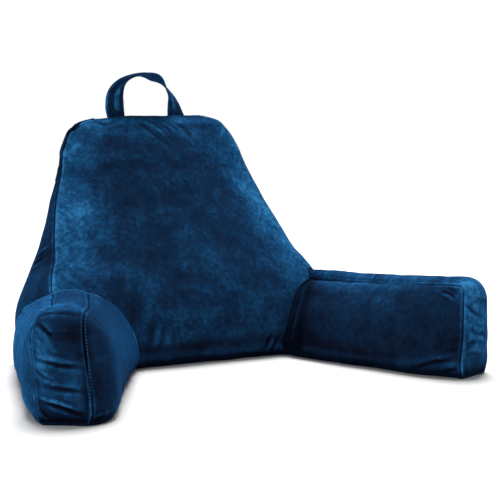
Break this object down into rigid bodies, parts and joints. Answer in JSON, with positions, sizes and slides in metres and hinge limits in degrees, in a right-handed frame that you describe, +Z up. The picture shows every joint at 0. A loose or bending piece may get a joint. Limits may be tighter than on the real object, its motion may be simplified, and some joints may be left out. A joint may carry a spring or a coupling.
{
  "type": "reading pillow with arms",
  "caption": "Wedge-shaped back cushion with a pair of padded arms splayed forward for sitting up in bed, and a carrying strap over its top edge.",
  "frame": {"origin": "on the floor plane, under the middle of the back cushion's flat base", "axes": "+Z up, -Y the way a sitter faces (the seat side), +X to the right of someone looking at the seat side"},
  "size_m": [0.8849, 0.6781, 0.58],
  "materials": {
    "velour_cover": "deep navy blue velour, soft brushed nap",
    "velour_strap": "navy blue velour, folded flat and edge-stitched"
  },
  "bodies": {
    "root": {"back_cushion": "velour_cover", "arm_left": "velour_cover", "arm_right": "velour_cover", "handle_strap": "velour_strap"}
  },
  "joints": []
}
